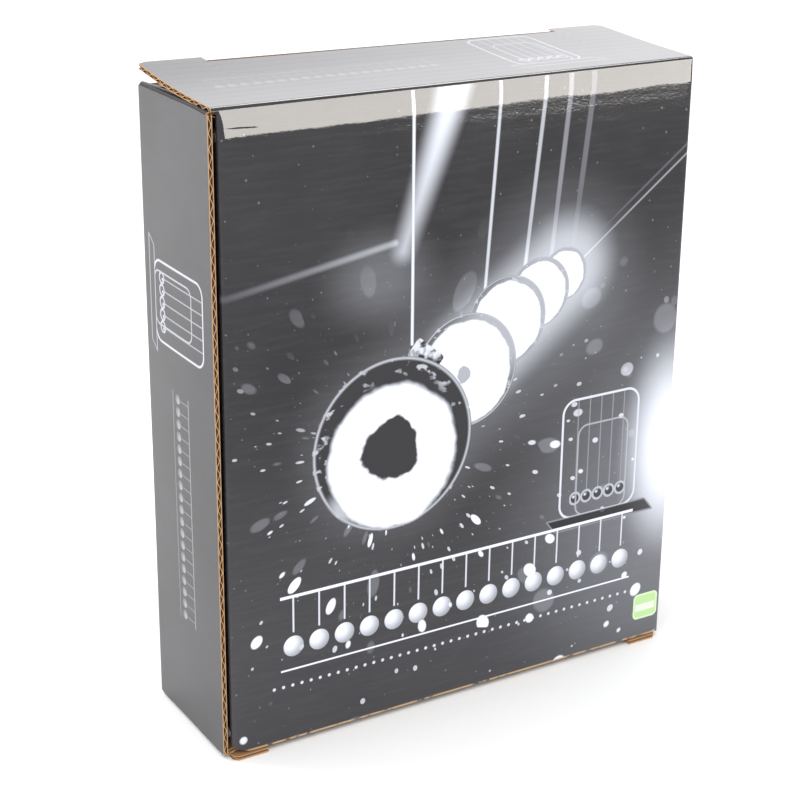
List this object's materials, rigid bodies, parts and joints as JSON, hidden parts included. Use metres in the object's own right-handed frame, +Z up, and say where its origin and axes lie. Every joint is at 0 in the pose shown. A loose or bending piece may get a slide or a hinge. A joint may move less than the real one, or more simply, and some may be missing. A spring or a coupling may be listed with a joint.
{
  "type": "boxed newtons cradle",
  "caption": "Desk toy of hanging steel balls, packed knocked down with its arches and base in a slim tuck-lid carton that opens at top and bottom.",
  "frame": {"origin": "centre of the carton's footprint, on the surface it stands on", "axes": "+X to the right as the printed front is seen, +Y from the front panel to the back panel, +Z up"},
  "size_m": [0.182, 0.055, 0.2241],
  "materials": {
    "printed_board": "gloss",
    "brown_board": "matte",
    "foam": "matte",
    "black_lacquer": "gloss",
    "foot_rubber": "matte",
    "chrome": "polished",
    "collar_plastic": "satin",
    "nylon_line": "satin"
  },
  "bodies": {
    "carton": {"front_panel": "printed_board", "back_panel": "printed_board", "left_panel": "printed_board", "right_panel": "printed_board", "glue_tab": "brown_board", "foam_bottom_rail": "foam", "foam_top_left_block": "foam", "foam_top_right_block": "foam", "base_plate": "black_lacquer", "base_foot_front_left": "foot_rubber", "base_foot_front_right": "foot_rubber", "base_foot_back_left": "foot_rubber", "base_foot_back_right": "foot_rubber", "front_arch": "chrome", "front_collar_1": "collar_plastic", "front_collar_2": "collar_plastic", "front_collar_3": "collar_plastic", "front_collar_4": "collar_plastic", "front_collar_5": "collar_plastic", "rear_arch": "chrome", "rear_collar_1": "collar_plastic", "rear_collar_2": "collar_plastic", "rear_collar_3": "collar_plastic", "rear_collar_4": "collar_plastic", "rear_collar_5": "collar_plastic"},
    "top_lid": {"top_lid": "printed_board"},
    "top_tuck_flap": {"top_tuck_flap": "printed_board"},
    "top_left_dust_flap": {"top_left_dust_flap": "printed_board"},
    "top_right_dust_flap": {"top_right_dust_flap": "printed_board"},
    "bottom_lid": {"bottom_lid": "printed_board"},
    "bottom_tuck_flap": {"bottom_tuck_flap": "printed_board"},
    "bottom_left_dust_flap": {"bottom_left_dust_flap": "printed_board"},
    "bottom_right_dust_flap": {"bottom_right_dust_flap": "printed_board"},
    "ball_1": {"ball_1": "chrome", "eyelet_1": "chrome", "line_1": "nylon_line"},
    "ball_2": {"ball_2": "chrome", "eyelet_2": "chrome", "line_2": "nylon_line"},
    "ball_3": {"ball_3": "chrome", "eyelet_3": "chrome", "line_3": "nylon_line"},
    "ball_4": {"ball_4": "chrome", "eyelet_4": "chrome", "line_4": "nylon_line"},
    "ball_5": {"ball_5": "chrome", "eyelet_5": "chrome", "line_5": "nylon_line"}
  },
  "joints": [
    {"name": "top_lid_hinge", "type": "hinge", "parent": "carton", "child": "top_lid", "pos_m": [0, -0.0275, 0.22], "axis": [1, 0, 0], "range_deg": [-4.2, 235]},
    {"name": "top_tuck_crease", "type": "hinge", "parent": "top_lid", "child": "top_tuck_flap", "pos_m": [0, 0.02525, 0.22397], "axis": [1, 0, 0], "range_deg": [-1, 48]},
    {"name": "top_left_dust_crease", "type": "hinge", "parent": "carton", "child": "top_left_dust_flap", "pos_m": [-0.091, 0, 0.2178], "axis": [0, -1, 0], "range_deg": [-2, 100]},
    {"name": "top_right_dust_crease", "type": "hinge", "parent": "carton", "child": "top_right_dust_flap", "pos_m": [0.091, 0, 0.2178], "axis": [0, 1, 0], "range_deg": [-2, 100]},
    {"name": "bottom_lid_hinge", "type": "hinge", "parent": "carton", "child": "bottom_lid", "pos_m": [0, 0.0275, 0], "axis": [1, 0, 0], "range_deg": [0, 235]},
    {"name": "bottom_tuck_crease", "type": "hinge", "parent": "bottom_lid", "child": "bottom_tuck_flap", "pos_m": [0, -0.0254, 0], "axis": [1, 0, 0], "range_deg": [0, 48]},
    {"name": "bottom_left_dust_crease", "type": "hinge", "parent": "carton", "child": "bottom_left_dust_flap", "pos_m": [-0.091, 0, 0.0022], "axis": [0, 1, 0], "range_deg": [0, 100]},
    {"name": "bottom_right_dust_crease", "type": "hinge", "parent": "carton", "child": "bottom_right_dust_flap", "pos_m": [0.091, 0, 0.0022], "axis": [0, -1, 0], "range_deg": [0, 100]},
    {"name": "ball_1_swing", "type": "hinge", "parent": "carton", "child": "ball_1", "pos_m": [-0.0406, -0.008, 0.1988], "axis": [0, 1, 0], "range_deg": [0, 14]},
    {"name": "ball_2_swing", "type": "hinge", "parent": "carton", "child": "ball_2", "pos_m": [-0.0203, -0.008, 0.1988], "axis": [0, 1, 0], "range_deg": [-0.1, 0.1]},
    {"name": "ball_3_swing", "type": "hinge", "parent": "carton", "child": "ball_3", "pos_m": [0, -0.008, 0.1988], "axis": [0, 1, 0], "range_deg": [-0.1, 0.1]},
    {"name": "ball_4_swing", "type": "hinge", "parent": "carton", "child": "ball_4", "pos_m": [0.0203, -0.008, 0.1988], "axis": [0, 1, 0], "range_deg": [-0.1, 0.1]},
    {"name": "ball_5_swing", "type": "hinge", "parent": "carton", "child": "ball_5", "pos_m": [0.0406, -0.008, 0.1988], "axis": [0, 1, 0], "range_deg": [-14, 0]}
  ],
  "couplings": [
    {"joint": "top_tuck_crease", "follows": "top_lid_hinge", "ratio": 0.2},
    {"joint": "top_left_dust_crease", "follows": "top_lid_hinge", "ratio": 0.42},
    {"joint": "top_right_dust_crease", "follows": "top_lid_hinge", "ratio": 0.42},
    {"joint": "bottom_tuck_crease", "follows": "bottom_lid_hinge", "ratio": 0.2},
    {"joint": "bottom_left_dust_crease", "follows": "bottom_lid_hinge", "ratio": 0.42},
    {"joint": "bottom_right_dust_crease", "follows": "bottom_lid_hinge", "ratio": 0.42}
  ]
}
